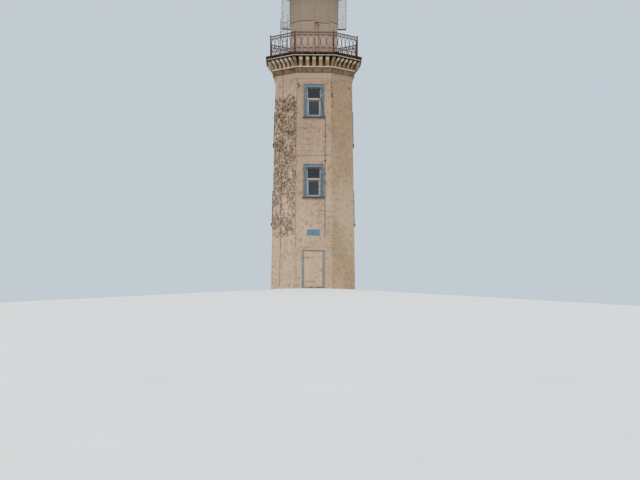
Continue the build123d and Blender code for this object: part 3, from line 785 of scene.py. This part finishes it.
def corbelStones():
    form = corbelForm
    mesh = bmesh.new()
    side = mesh.verts.layers.float.new("side")
    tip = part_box("corbels")[1].x
    root, reach = tip - form["root"], tip - form["deep"]
    low, high = filletTop + form["foot"], bedBase - form["nose"]

    def block(turn, across, width, end, stretch, paintedShade=0.0):
        outline = [(root, bedBase), (root, filletTop), (reach, filletTop)]
        for i in range(form["steps"] + 1):
            share = i / form["steps"]
            outline.append((reach + (end - reach) * share ** form["hollow"], low + (high - low) * share))
        outline.append((end, bedBase))
        half, soft = width / 2, form["round"]
        rings = []
        for a in (-half, soft - half, -half * 0.35, half * 0.35, half - soft, half):
            cheek = abs(a) > half - 0.001
            ring = []
            for i, (r, z) in enumerate(outline):
                rough = noise.noise(Vector((turn * 9 + across * 7 + a * 8, z * 9, i * 0.3)))
                worn = form["wear"] * (0.5 + 0.5 * rough) + (soft * 0.7 if cheek else 0.0)
                back = worn if i > 1 else 0.05  # the first two lie hidden in the cornice
                ring.append(mesh.verts.new(onRing(turn, across + a, r * stretch - back, z)))
                # the side value marks the cheeks and the corner corbels for painted shade
                ring[-1][side] = 1.0 if cheek else paintedShade
            rings.append(ring)
        skin(mesh, rings)

    for k in range(8):
        run = 2 * tip * stretchOf(k) * tan(halfOf(k))
        pitch = run / (form["count"] + form["between"])
        turn = k * eighth
        for i in range(form["count"]):
            block(turn, (i - (form["count"] - 1) / 2) * pitch, form["width"], tip, stretchOf(k))
        block(turn + halfOf(k), 0.0, form["cornerWidth"], tip - form["cornerDrop"], 1 / cos(wideHalf),
              form["cornerShade"])
    placed(mesh, "corbel_blocks", plain["corbels"], stands=["corbels"])


corbelStones()

# Gallery railing: pointed ovals side by side, rings over them and crossing waves under them
railing = {
    "ovals": 6,
    "bar": 0.026,
    "thin": 0.017,
    "depth": 0.02,
    "bulge": 2.6,  # more gives straighter sides and blunter points
    "railTop": 1.18,
    "secondRail": 1.01,
    "lowerRail": 0.28,
    "railDeep": 0.026,
    "postGap": 0.0353,  # from a corner to a panel's end
    "bite": 0.006,  # how far an oval reaches into its rails
    "waveFoot": 0.012,
    "railSizes": {  # tall and deep
        "railTop": (0.045, 0.046), "secondRail": (0.034, 0.026), "lowerRail": (0.028, 0.026),
    },
    "endBar": 0.007,  # half its width
}
panelOut = -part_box("railing_panels")[0].y - railing["depth"] / 2  # from the axis to the panels' middle


def railingPattern():
    low, second = railing["lowerRail"], railing["secondRail"]
    base, head = low - railing["bite"], second - railing["railDeep"] + railing["bite"]
    top, foot = railing["railTop"] - railing["railDeep"], (low - railing["railDeep"]) / 2
    bar, thin, deep, count = railing["bar"], railing["thin"], railing["depth"], railing["ovals"]
    for first, kind in enumerate(("wide", "narrow")):
        reach = panelOut * stretchOf(first)
        half = reach * tan(halfOf(first)) - railing["postGap"]
        cell = half / count
        levels = [sin(radians(a)) for a in range(-90, 91, 18)]
        widest, middle, rise = cell - bar * 0.3, (base + head) / 2, (head - base) / 2
        right = [(widest * (1 - abs(s) ** railing["bulge"]), middle + rise * s) for s in levels]
        oval, ring = newMeshes(2)
        bentBar(oval, right + [(-x, y) for x, y in right[-2:0:-1]], bar, deep, True)
        for phase in (0, 1):
            swell = foot - railing["waveFoot"]
            wave = [(cell * (i / 6 - 1), foot + swell * cos(pi * (i / 6 + phase))) for i in range(13)]
            bentBar(oval, wave, thin, deep * 0.7)
        crown, radius = (top + second) / 2, (top - second) / 2 - thin * 0.3
        bentBar(ring, [(radius * c, crown + radius * s) for c, s in around(12)], thin, deep, True)
        rings = [(onRing(k * eighth, (i + 1) * cell - half, reach, galleryFloor), (pi / 2, 0.0, k * eighth))
                 for k in range(first, 8, 2) for i in range(2 * count - 1)]
        ovals = [spot for i, spot in enumerate(rings) if i % (2 * count - 1) % 2 == 0]
        repeated("railing_ovals_" + kind, oval, ovals, railIron)
        repeated("railing_rings_" + kind, ring, rings, railIron)


def railBars():
    mesh = bmesh.new()
    for k in range(8):
        reach = panelOut * stretchOf(k)
        half = reach * tan(halfOf(k)) - railing["postGap"]
        place = ringFrame(k * eighth, reach, galleryFloor)
        for key, (tall, deep) in railing["railSizes"].items():
            top = railing[key]
            board(mesh, place, (-half, -deep / 2, top - tall), (half, deep / 2, top), 0.0, 0.005)
        end = railing["endBar"]
        for x in (end - half, half - end):
            board(mesh, place, (x - end, -end, 0.0), (x + end, end, railing["railTop"] - 0.02), 0.0, 0.002)
    placed(mesh, "railing_rails", railIron, stands=["railing_panels"])


railingPattern()
railBars()

# Woven wire in the two screens
screen = {
    "pitch": 0.06,
    "wire": 0.0088,
    "turns": (-80, 80),
    "edge": 0.022,
    "foot": 0.075,
    "edgeHalf": 0.014,  # half its thickness
    "footHalf": 0.017,
    "wireTone": (210, 212, 204),
}


def strand(mesh, a, b, size):
    along = (b - a).normalized()
    side = along.cross(Vector((0, 0, 1))).normalized() * size / 2
    up = along.cross(side).normalized() * size / 2
    skin(mesh, [[mesh.verts.new(p + s) for s in (side, up, -side, -up)] for p in (a, b)])


def screens():
    reach = [v.co.xy.length for v in nodes["mesh_screens"].data.vertices]
    near, far = min(reach), max(reach)
    low, high = (corner.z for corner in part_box("mesh_screens"))
    edge, foot, pitch = screen["edge"], screen["foot"], screen["pitch"]
    width, height = far - near - 2 * edge, high - low - foot - edge
    corner = Vector((near + edge, 0, low + foot))
    wires, frames, feet = newMeshes(3)
    for turn in screen["turns"]:
        spin = rotated(radians(turn - 90))
        for i in range(1, int((width + height) / pitch)):
            start = (min(i * pitch, width), max(0.0, i * pitch - width))
            end = (max(0.0, i * pitch - height), min(i * pitch, height))
            for mirror in (0, width):
                a, b = (spin @ (corner + Vector((abs(mirror - x), 0, z))) for x, z in (start, end))
                strand(wires, a, b, screen["wire"])
        thick = screen["edgeHalf"]
        for x0, x1, z0, z1 in ((near, near + edge, low, high), (far - edge, far, low, high),
                               (near + edge, far - edge, high - edge, high)):
            board(frames, spin, (x0, -thick, z0), (x1, thick, z1), 0.0, 0.003)
        thick = screen["footHalf"]
        board(feet, spin, (near + edge, -thick, low), (far - edge, thick, low + foot), 0.0, 0.003)
    wire = paint("screenWire", screen["wireTone"], (116, 116, 102), 0.5, 0.4)
    placed(wires, "screen_wires", wire)
    placed(frames, "screen_frames", paint("screenEdge", (104, 96, 92), ironRust, 0.4, 0.5),
           stands=["mesh_screens"])
    placed(feet, "screen_feet", paint("screenFoot", (78, 44, 46), ironRust, 0.4, 0.5))


screens()

# Windows: a surround of butted boards under a dark cap, and the sash in it
window = {
    "half": 0.565,
    "board": 0.175,
    "thick": 0.045,
    "height": 1.9,
    "sill": 0.06,
    "rail": 0.075,
    "railThick": 0.039,
    "cap": 0.04,
    "jambTone": (86, 112, 126),
    "headTone": (107, 130, 142),
    "capTone": (44, 66, 86),
    "lightBase": 0.135,
    "lightTop": 1.725,
    "upperLight": 0.59,
    "transom": 0.12,
    "transomFace": 0.08,  # the pale upper part of the transom
    "casement": 0.345,
    "stile": 0.06,
    "upperStile": 0.052,
    "sashBack": -0.145,
    "sashFront": -0.095,
    "glass": (-0.123, -0.117),
    # a dark strip at the top of the opening, painted shadow under the head
    "headShadowStrip": 0.045,
    "transomOut": (0.02, 0.008),  # how far its pale part and its dark, painted-shade part stand before the sash
    "sashTone": (200, 188, 174),
    "shadeTone": (112, 104, 98),
    "headShadowTone": (30, 30, 34),
    "nails": (0.16, 0.6, 1.05, 1.5),
    "nailIn": 0.035,  # from a board's edge
    "joint": 0.0008,
    "clearance": 0.0005,
}


def windowPieces():
    jambs, heads, caps, pale, dark, headShadows, panes = newMeshes(7)
    half, thick, sill, joint = (window[key] for key in ("half", "thick", "sill", "joint"))
    wide, stile, upper = (window[key] for key in ("board", "stile", "upperStile"))
    light, headTop = half - wide, window["height"]
    headLow, capLow = headTop - wide, headTop - window["cap"]
    gap = window["clearance"]
    opening, casement = light - gap, window["casement"] - gap
    base, top = window["lightBase"] + gap, window["lightTop"] - gap
    railTop = top - window["upperLight"]
    railBase, faceBase = railTop - window["transom"], railTop - window["transomFace"]
    back, front = window["sashBack"], window["sashFront"]
    paleOut, darkOut = window["transomOut"]
    inner, upperInner = casement - stile, opening - upper
    pairs = [  # mesh, outer edge, width, low, high, inside, outside, shade, its change to the right
        (jambs, half, wide, sill, headLow - joint, 0, thick, 0.5, 0.3),
        (pale, casement, stile, base, railBase, back, front, 0.2, 0.1),
        (pale, opening, upper, railTop, top, back, front, 0.2, 0.1),
    ]
    rows = [  # mesh, half width, low, high, inside, outside, shade, bevel
        (heads, half, headLow, capLow, 0, thick, 0.2),
        (heads, light - joint, sill, sill + window["rail"], 0, window["railThick"], 0.7),
        (caps, half, capLow, headTop, 0, thick),
        (pale, inner, base, base + stile, back, front),
        # painted shade: the upper sash's top rail darkened under the head
        (pale, upperInner, top - upper, top, back, front, 1.0),
        (pale, opening, faceBase, railTop, back, front + paleOut),
        # painted shade: the transom's lower part and the casement's top rail in a dark paint
        (dark, opening, railBase, faceBase, back, front + darkOut, 0.3),
        (dark, inner, railBase - stile, railBase, back, front),
        # painted shadow: a dark strip at the top of the opening
        (headShadows, opening, top - window["headShadowStrip"], top, -0.02, 0.03, 0.0, 0.006),
        (panes, inner, base + stile, railBase - stile, *window["glass"], 1.0, 0.001),
        (panes, upperInner, railTop, top - upper, *window["glass"], 0.0, 0.001),
    ]
    nails, nailIn = [], window["nailIn"]
    for place in [wallFrame(face, min(p.z for p in part))
                  for face in range(0, 8, 2) for part in partsOn(face, "window_sills")]:
        for side in (-1, 1):
            for mesh, edge, width, low, high, inside, outside, shade, change in pairs:
                a, b = sorted((side * edge, side * (edge - width)))
                board(mesh, place, (a, low, inside), (b, high, outside), shade + side * change)
            nails += [(place @ Vector((side * x, y, thick)), place.to_euler())
                      for y in window["nails"] for x in (light + nailIn, half - nailIn)]
        for mesh, reach, low, high, inside, outside, *rest in rows:
            board(mesh, place, (-reach, low, inside), (reach, high, outside), *rest)
    placed(jambs, "surround_jambs", paint("jambBlue", window["jambTone"], (150, 156, 150), 0.25, board=True),
           stands=["window_surrounds"])
    placed(heads, "surround_heads", paint("headBlue", window["headTone"], (154, 160, 154), 0.25, board=True))
    placed(caps, "surround_caps", paint("capBlue", window["capTone"], (120, 116, 108), 0.25))
    nailPaint = paint("nailHeads", (92, 92, 92), ironRust, 0.5, 0.5)
    repeated("surround_nails", rivetHead(0.006, 0.002), nails, nailPaint)
    placed(pale, "sash_boards", paint("sashCream", window["sashTone"], (128, 114, 96), 0.25, board=True),
           stands=["window_sashes"])
    placed(dark, "sash_rails", paint("sashShade", window["shadeTone"], (80, 74, 68), 0.25))
    placed(headShadows, "head_beads", paint("headShadowStrip", window["headShadowTone"], (70, 66, 60), 0.2, 0.7))
    placed(panes, "sash_panes", pane("sashPane", (19, 24, 30), 0.88, (28, 56, 62)),
           stands=["window_glass"])


windowPieces()

# Entrance leaf of upright boards
leafForm = {"boards": 7, "gap": 0.003, "tint": (205, 183, 161)}


def doorBoards():
    low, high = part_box("door_leaf")
    mesh = bmesh.new()
    width = (high.x - low.x) / leafForm["boards"]
    for i in range(leafForm["boards"]):
        x = low.x + i * width
        shade = 0.5 + 0.5 * noise.noise(Vector((i * 1.7, 0.4, 0.2)))
        right = x + width - (leafForm["gap"] if i < leafForm["boards"] - 1 else 0.0)
        board(mesh, Matrix.Identity(4), (x, low.y, low.z), (right, high.y, high.z), shade, 0.003)
    placed(mesh, "leaf_boards", paint("doorPaint", leafForm["tint"], (136, 112, 92), 0.2, board=True),
           "door", ["door_leaf"])


doorBoards()

# Beads along the drum's seams, dark beads under the laps that are partly painted shadow, and rivets beside
# them
drum = {
    "sides": 10,
    "turn": 20.4,
    "lap": 0.06,
    "bead": 0.02,
    "lapShadowBead": 0.036,
    "beadProud": 0.007,
    "rivetPitch": 0.12,
    "rivetIn": 0.04,  # from a seam to its row of rivets
    "upperOut": 0.0123,  # how far the upper plates stand before the lower ones
    "lapShadowTone": (102, 80, 64),
    "seamTone": (136, 114, 98),
}


def drumTurn(k):
    return radians(drum["turn"] + 360 / drum["sides"] * k)


def drumReach(node):  # from the axis to a ring's corners and sides, and half a side
    corner = max(v.co.xy.length for v in nodes[node].data.vertices)
    return corner, corner * cos(pi / drum["sides"]), corner * sin(pi / drum["sides"])


def drumSeams():
    laps, seams = newMeshes(2)
    corner, apothem, half = drumReach("drum_lower_plates")
    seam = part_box("drum_lower_plates")[1].z
    shortEdge, deck = (corner.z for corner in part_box("drum_upper_plates"))
    bead, proud, upperOut = drum["bead"] / 2, drum["beadProud"], drum["upperOut"]
    rowHalf, pitch = half - drum["rivetIn"], drum["rivetPitch"]
    rivets = []
    for k in range(drum["sides"]):
        turn = drumTurn(k)
        edge = shortEdge if k == 0 else seam - drum["lap"]
        # partly painted shadow: a dark bead under each lap's edge
        board(laps, ringFrame(turn, apothem), (0.004 - half, -proud, edge - drum["lapShadowBead"]),
              (half - 0.004, 0.0, edge), 0.0, 0.002)
        place = ringFrame(drumTurn(k + 0.5), corner)
        board(seams, place, (-bead, -0.002, galleryFloor), (bead, 0.008, seam - 0.2), 0.0, 0.002)
        board(seams, place, (-bead, -0.016, seam), (bead, -0.004, deck), 0.0, 0.002)
        rows = (galleryFloor + 0.06, edge - 0.05, 0.0), (seam + 0.06, deck - 0.04, upperOut)
        places = [(side * rowHalf, out, low + i * pitch) for side in (-1, 1) for low, high, out in rows
                  for i in range(int((high - low) / pitch) + 1)]
        places += [((i - 3) * half * 0.28, upperOut, edge + 0.03) for i in range(7)]
        rivets += [(onRing(turn, across, apothem + out, height), (pi / 2, 0.0, turn))
                   for across, out, height in places]
    placed(laps, "drum_lap_beads", paint("lapShadowPaint", drum["lapShadowTone"], ironRust, 0.3, 0.6))
    placed(seams, "drum_seam_beads", paint("seamCover", drum["seamTone"], ironRust, 0.2, 0.6))
    rivetPaint = paint("rivetPaint", (152, 132, 114), ironRust, 0.35, 0.5)
    repeated("drum_rivets", rivetHead(0.009, 0.005), rivets, rivetPaint)


drumSeams()

# Standing seams on the roof and bolts round the lantern
roof = {"seamWide": 0.022, "seamTall": 0.03, "from": 0.1, "steps": 10, "tint": (106, 66, 52)}


def radialFrame(turn):  # X outward, Y up
    return rotated(turn - pi / 2) @ rotated(pi / 2, "X")


def roofSeams():
    low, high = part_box("lantern_roof")
    corner, eave, half = drumReach("lantern_roof")
    rise = high.z - low.z
    radius = (eave ** 2 + rise ** 2) / (2 * rise)
    swing = asin(min(1.0, eave / radius)) * 0.99
    line = []
    for i in range(roof["steps"] + 1):
        turn = roof["from"] + (swing - roof["from"]) * i / roof["steps"]
        line.append((radius * sin(turn) * corner / eave, high.z - radius * (1 - cos(turn))))
    mesh = bmesh.new()
    for k in range(drum["sides"]):
        bentBar(mesh, line, roof["seamTall"], roof["seamWide"], place=radialFrame(drumTurn(k + 0.5)))
    placed(mesh, "roof_seams", paint("seamPaint", roof["tint"], (84, 58, 44), 0.35, 0.5))


def lanternBolts():
    low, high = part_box("lantern_curb")
    corner, apothem, half = drumReach("lantern_curb")
    spots = [(onRing(drumTurn(k), (i - 2) * half * 0.42, apothem, height), (pi / 2, 0.0, drumTurn(k)))
             for k in range(drum["sides"])
             for height in (low.z + 0.05, high.z - 0.04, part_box("lantern_head")[0].z + 0.045)
             for i in range(5)]
    bolt = paint("boltPaint", (146, 130, 114), ironRust, 0.35, 0.5)
    repeated("lantern_bolts", rivetHead(0.011, 0.006), spots, bolt)


roofSeams()
lanternBolts()

# Small things on the walls: each route is a list of across, height and distance from the wall
routes = {
    "drop": [(0.35, 10.76, -0.09), (0.368, 10.72, 0.02), (0.4, 10.62, 0.056), (0.48, 10.25, 0.056),
             (0.55, 9.93, 0.056), (0.575, 9.8, 0.03), (0.615, 9.64, 0.016), (0.64, 9.5, 0.013)],
    "hook": [(-0.7, 2.86, -0.02), (-0.7, 2.86, 0.05), (-0.7, 2.84, 0.075), (-0.7, 2.79, 0.08),
             (-0.7, 2.73, 0.07), (-0.7, 2.7, 0.04), (-0.7, 2.72, 0.018)],
}
strapForm = {
    "face": 7, "across": -0.24, "wide": 0.03, "thick": 0.005,
    "line": [(0.0, -0.06), (0.004, 0.0), (0.03, 0.14), (0.064, 0.25), (0.08, 0.27), (0.09, 0.33),
             (0.104, 0.42), (0.14, 0.53), (0.171, 0.548), (0.172, 0.6), (0.166, 0.614)],  # outward and up
}
clipForm = {"heights": (5.97, 6.43, 7.19, 8.56), "across": 0.64, "half": 0.045, "tall": 0.055, "deep": 0.026}


def wallFixings():
    cord, iron, strap, clips = newMeshes(4)
    rod(cord, [onWall(0, *spot) for spot in routes["drop"]], 0.014)
    rod(iron, [onWall(0, *spot) for spot in routes["hook"]], 0.012)
    placed(cord, "cable_drop", paint("cordSheath", (44, 46, 52), (90, 84, 78), 0.2, 0.6))
    placed(iron, "wall_hook", paint("hookIron", (66, 52, 44), ironRust, 0.5, 0.5))
    face = strapForm["face"]
    points = [((neckReach + 0.003 + reach) * stretchOf(face), shaftTop + height)
              for reach, height in strapForm["line"]]
    place = radialFrame(face * eighth) @ Matrix.Translation((0, 0, -strapForm["across"]))
    bentBar(strap, points, strapForm["thick"], strapForm["wide"], place=place)
    placed(strap, "conductor_over_cornice", plain["lightning_conductor"])
    x, half = clipForm["across"], clipForm["half"]
    for height in clipForm["heights"]:
        board(clips, wallFrame(0, height), (x - half, 0, 0.0), (x + half, clipForm["tall"], clipForm["deep"]),
              0.0, 0.003)
    placed(clips, "cable_clips", paint("clipSteel", (56, 42, 36), ironRust, 0.4, 0.5))


wallFixings()

# Floor, light and camera
stageLook = {
    "floor": (216, 217, 216),
    "sky": (194, 203, 209),
    "flat": 3.6,  # the floor is level this far from the axis, then falls away gently
    "fall": 5.0,
    "far": 420.0,
    "light": (0.96, 0.98, 1.0, 1.0),
    "soft": 0.872,
    "sun": 0.62,
    "sunWide": 30,
    "sunDown": 46,
    "sunTurn": -4,
}


def makeFloor():
    paper = stageLook["floor"]
    f = Finish("floorPaper", 0.2)
    f.look(f.mix(paper, tone(*paper, 0.93), f.noise(0.4, 3)), 0.9)
    mesh = bmesh.new()
    drop = tan(radians(stageLook["fall"]))
    centre = mesh.verts.new((0, 0, 0))
    rings = []
    for r in (stageLook["flat"], stageLook["flat"] + 0.6, 12, 40, 120, stageLook["far"]):
        z = (stageLook["flat"] - r) * drop
        rings.append([mesh.verts.new((r * s, r * c, z)) for c, s in around(72)])
    for j in range(72):
        mesh.faces.new((centre, rings[0][j], rings[0][(j + 1) % 72]))
        for low, high in zip(rings, rings[1:]):
            mesh.faces.new((low[j], high[j], high[(j + 1) % 72], low[(j + 1) % 72]))
    bmesh.ops.recalc_face_normals(mesh, faces=mesh.faces)
    finishMesh(mesh, "floor", f, True)


def makeLight():
    world = bpy.data.worlds.new("studio")
    world.use_nodes = True
    world.node_tree.nodes.clear()
    bpy.context.scene.world = world
    w = Maker(world.node_tree)
    camera, through = (w.node("ShaderNodeLightPath", {}, kind)
                       for kind in ("Is Camera Ray", "Is Transmission Ray"))
    soft = w.node("ShaderNodeBackground", {0: stageLook["light"], 1: stageLook["soft"]})
    seen = w.node("ShaderNodeBackground", {0: tone(*stageLook["sky"]), 1: 1.0})
    direct = w.node("ShaderNodeMath", {0: camera, 1: through}, operation="MAXIMUM")
    either = w.node("ShaderNodeMixShader", {0: direct, 1: soft, 2: seen})
    w.node("ShaderNodeOutputWorld", {0: either})
    sun = bpy.data.lights.new("softSun", "SUN")
    sun.energy = stageLook["sun"]
    sun.angle = radians(stageLook["sunWide"])
    lamp = inScene("softSun", sun)
    lamp.rotation_euler = (radians(stageLook["sunDown"]), 0, radians(stageLook["sunTurn"]))


shot = {  # found from the photograph's own corners and edges
    "focal": 1755.1,  # in pixels of a frame 640 wide
    "away": 99.09,
    "height": -6.514,
    "round": -0.449,
    "pan": -0.229,
    "pitch": 5.477,
    "roll": 0.217,
}


def makeCamera():
    turn, pan, pitch, roll = (radians(shot[key]) for key in ("round", "pan", "pitch", "roll"))
    data = bpy.data.cameras.new("camera")
    data.sensor_width = 36
    data.lens = shot["focal"] / 640 * 36
    data.clip_start, data.clip_end = 1.0, 2000.0
    camera = inScene("camera", data)
    camera.matrix_world = (ringFrame(turn, shot["away"], shot["height"]) @ rotated(pan)
                           @ rotated(pi / 2 + pitch, "X") @ rotated(roll))
    bpy.context.scene.camera = camera


makeFloor()
makeLight()
makeCamera()
bpy.context.scene.view_settings.view_transform = "Standard"
print("stage")
